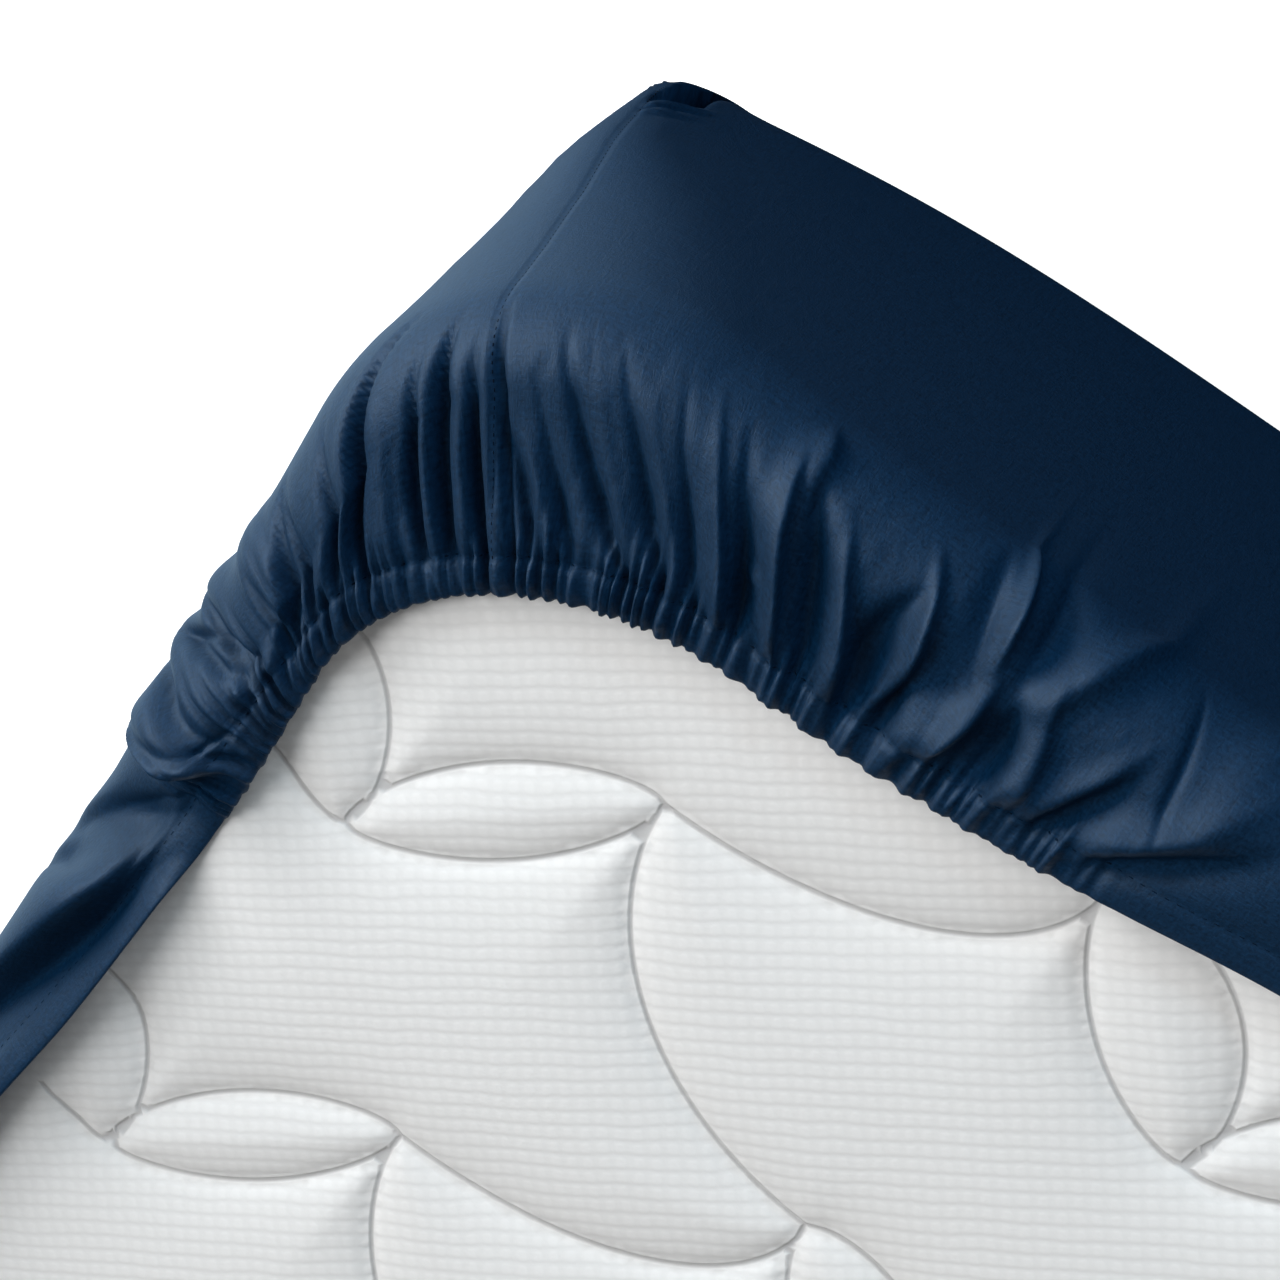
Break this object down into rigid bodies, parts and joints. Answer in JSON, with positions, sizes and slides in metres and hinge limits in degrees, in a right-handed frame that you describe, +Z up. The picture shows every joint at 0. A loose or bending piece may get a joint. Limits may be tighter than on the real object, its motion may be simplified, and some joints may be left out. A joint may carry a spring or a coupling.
{
  "type": "fitted sheet on mattress",
  "caption": "Fitted sheet stretched over a single mattress that lies underside up, its elastic hem gathered at the corners and turned in over the edge.",
  "frame": {"origin": "on the floor under the middle of the mattress, which lies with its sleeping side down", "axes": "+X along the mattress's length, +Y across it, +Z up, out of the mattress's underside"},
  "size_m": [2.0011, 0.9, 0.23],
  "materials": {
    "sheet_cotton": "navy cotton satin, matt",
    "ticking": "white quilted knit"
  },
  "bodies": {
    "root": {"fitted_sheet": "sheet_cotton", "mattress": "ticking"}
  },
  "joints": []
}
